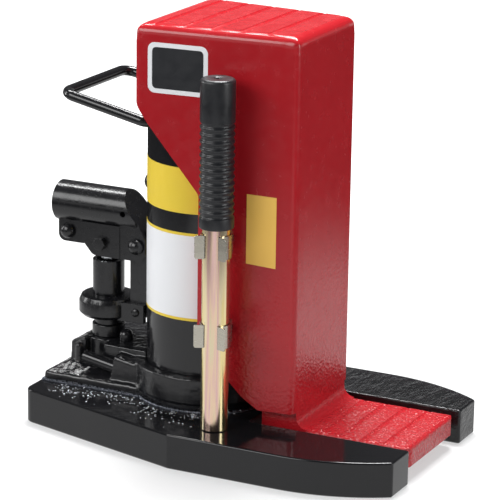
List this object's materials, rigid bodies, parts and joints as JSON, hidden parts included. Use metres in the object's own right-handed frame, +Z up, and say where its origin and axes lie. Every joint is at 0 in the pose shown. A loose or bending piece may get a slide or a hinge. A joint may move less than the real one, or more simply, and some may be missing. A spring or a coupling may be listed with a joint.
{
  "type": "toe jack",
  "caption": "Hydraulic toe jack: forked base plate, reservoir and hand pump with a swivelling lever socket, and a lifting head casting with a low toe.",
  "frame": {"origin": "on the floor under the ram axis", "axes": "+Z up along the ram, +X towards the toe, -Y towards the stored handle"},
  "size_m": [0.2975, 0.194, 0.2995],
  "materials": {
    "black_enamel": "glossy black enamel over rough casting",
    "red_enamel": "glossy red enamel over rough casting",
    "steel": "machined",
    "hard_chrome": "polished",
    "black_steel": "satin black",
    "yellow_zinc": "yellow chromate on zinc plate, slightly iridescent",
    "grip_rubber": "satin moulded rubber",
    "seal_rubber": "matte",
    "spring_steel": "bright plated spring strip"
  },
  "bodies": {
    "base": {"base_plate": "black_enamel", "jack_base": "black_enamel", "reservoir_tube": "black_enamel", "filler_plug": "black_enamel", "inner_cylinder": "steel", "top_nut": "black_enamel", "rod_wiper": "seal_rubber", "carry_handle": "black_enamel", "valve_ball": "steel", "check_balls": "steel", "overload_cap": "black_enamel", "pump_cylinder": "black_enamel", "plunger_seal": "seal_rubber", "pump_nut": "black_enamel", "ring_circlip": "black_steel"},
    "head": {"head_casting": "red_enamel", "ram": "hard_chrome", "piston": "steel", "piston_packing": "seal_rubber", "spring_clips": "spring_steel", "clip_spacers": "black_steel", "clip_screws": "steel"},
    "handle": {"handle_tube": "yellow_zinc", "handle_grip": "grip_rubber"},
    "valve": {"release_valve": "black_steel"},
    "bracket": {"swivel_ring": "black_enamel", "link_lower_pin": "black_steel"},
    "link_arm": {"link": "black_enamel"},
    "plunger": {"pump_plunger": "hard_chrome", "plunger_bolt": "black_steel", "plunger_bolt_nut": "black_steel"},
    "lever": {"lever_socket": "black_enamel", "link_upper_pin": "black_steel", "ear_pin": "black_steel"}
  },
  "joints": [
    {"name": "ram_lift", "type": "slide", "parent": "base", "child": "head", "axis": [0, 0, 1], "range_m": [0, 0.12]},
    {"name": "handle_draw", "type": "slide", "parent": "head", "child": "handle", "axis": [0, 0, 1], "range_m": [0, 0.14]},
    {"name": "release_valve_turn", "type": "hinge", "parent": "base", "child": "valve", "pos_m": [-0.086, -0.028, 0.045], "axis": [0.9848, 0, -0.1736], "range_deg": [0, 180]},
    {"name": "lever_swivel", "type": "hinge", "parent": "base", "child": "bracket", "pos_m": [-0.082, 0, 0.0785], "axis": [0, 0, 1], "range_deg": [-120, 120]},
    {"name": "link_swing", "type": "hinge", "parent": "bracket", "child": "link_arm", "pos_m": [-0.0535, 0, 0.078], "axis": [0, 1, 0], "range_deg": [-2, 1]},
    {"name": "lever_pump", "type": "hinge", "parent": "link_arm", "child": "lever", "pos_m": [-0.0535, 0, 0.127], "axis": [0, 1, 0], "range_deg": [-6, 25]},
    {"name": "plunger_slide", "type": "slide", "parent": "bracket", "child": "plunger", "axis": [0, 0, 1], "range_m": [-0.004, 0.0118]}
  ],
  "couplings": [
    {"joint": "link_swing", "follows": "lever_pump", "ratio": -0.07},
    {"joint": "plunger_slide", "follows": "lever_pump", "m_per_rad": 0.0262}
  ]
}
